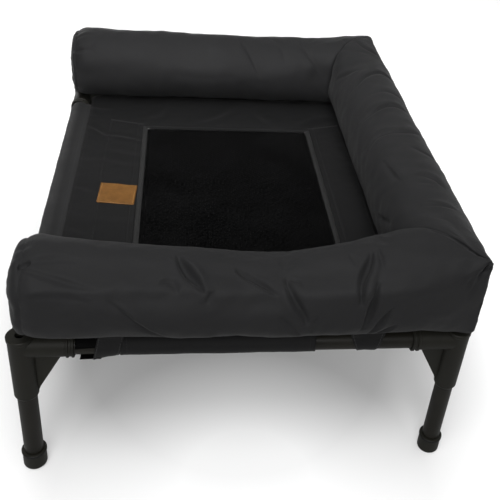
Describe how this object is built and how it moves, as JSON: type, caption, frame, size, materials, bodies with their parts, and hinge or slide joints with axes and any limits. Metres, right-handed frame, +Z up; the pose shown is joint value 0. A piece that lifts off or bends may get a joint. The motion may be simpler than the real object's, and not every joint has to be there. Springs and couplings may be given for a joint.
{
  "type": "elevated dog bed",
  "caption": "Raised dog bed: a tube frame on four legs carries a dished fabric sling with a mesh middle, with stuffed bolsters on three sides and one long side open.",
  "frame": {"origin": "the floor under the middle of the whole bed's footprint", "axes": "+Z up, +Y along the long side, +X across the bed from the open entrance towards the long bolster"},
  "size_m": [0.616, 0.8, 0.3583],
  "materials": {
    "connector_plastic": "moulded plastic, fine matt grain, dark olive black",
    "tube_paint": "satin powder coat on steel tube, dark olive black",
    "foot_plastic": "moulded plastic cap, dark olive black, with a black bead at its mouth",
    "sling_fabric": "plain woven polyester, soft sheen, charcoal black",
    "band_fabric": "folded woven polyester, a shade lighter than the sling",
    "mesh_fabric": "open woven mesh, black",
    "binding_tape": "ribbed binding tape",
    "bolster_fabric": "dense woven polyester, soft sheen, charcoal black",
    "bolster_fill": "white polyester filling, sealed in the covers",
    "strap_fabric": "woven tape with a lighter edge, black",
    "label_leather": "tan leather-look patch, bare"
  },
  "bodies": {
    "root": {"corner_connector_front_left": "connector_plastic", "corner_connector_front_right": "connector_plastic", "corner_connector_back_left": "connector_plastic", "corner_connector_back_right": "connector_plastic", "leg_tube_front_left": "tube_paint", "leg_tube_front_right": "tube_paint", "leg_tube_back_left": "tube_paint", "leg_tube_back_right": "tube_paint", "foot_cap_front_left": "foot_plastic", "foot_cap_front_right": "foot_plastic", "foot_cap_back_left": "foot_plastic", "foot_cap_back_right": "foot_plastic", "rail_front": "tube_paint", "rail_back": "tube_paint", "rail_left": "tube_paint", "rail_right": "tube_paint", "rail_pocket_front": "sling_fabric", "rail_pocket_back": "sling_fabric", "rail_pocket_left": "sling_fabric", "rail_pocket_right": "sling_fabric", "sling_border": "sling_fabric", "sling_band_left": "band_fabric", "sling_band_right": "band_fabric", "mesh_panel": "mesh_fabric", "mesh_binding": "binding_tape", "label_patch": "label_leather", "bolster_cover_front": "bolster_fabric", "bolster_cover_back": "bolster_fabric", "bolster_cover_right": "bolster_fabric", "bolster_fill_front": "bolster_fill", "bolster_fill_back": "bolster_fill", "bolster_fill_right": "bolster_fill", "strap_front_left": "strap_fabric", "strap_front_right": "strap_fabric", "strap_back_left": "strap_fabric", "strap_back_right": "strap_fabric", "strap_right_front": "strap_fabric", "strap_right_back": "strap_fabric"}
  },
  "joints": []
}
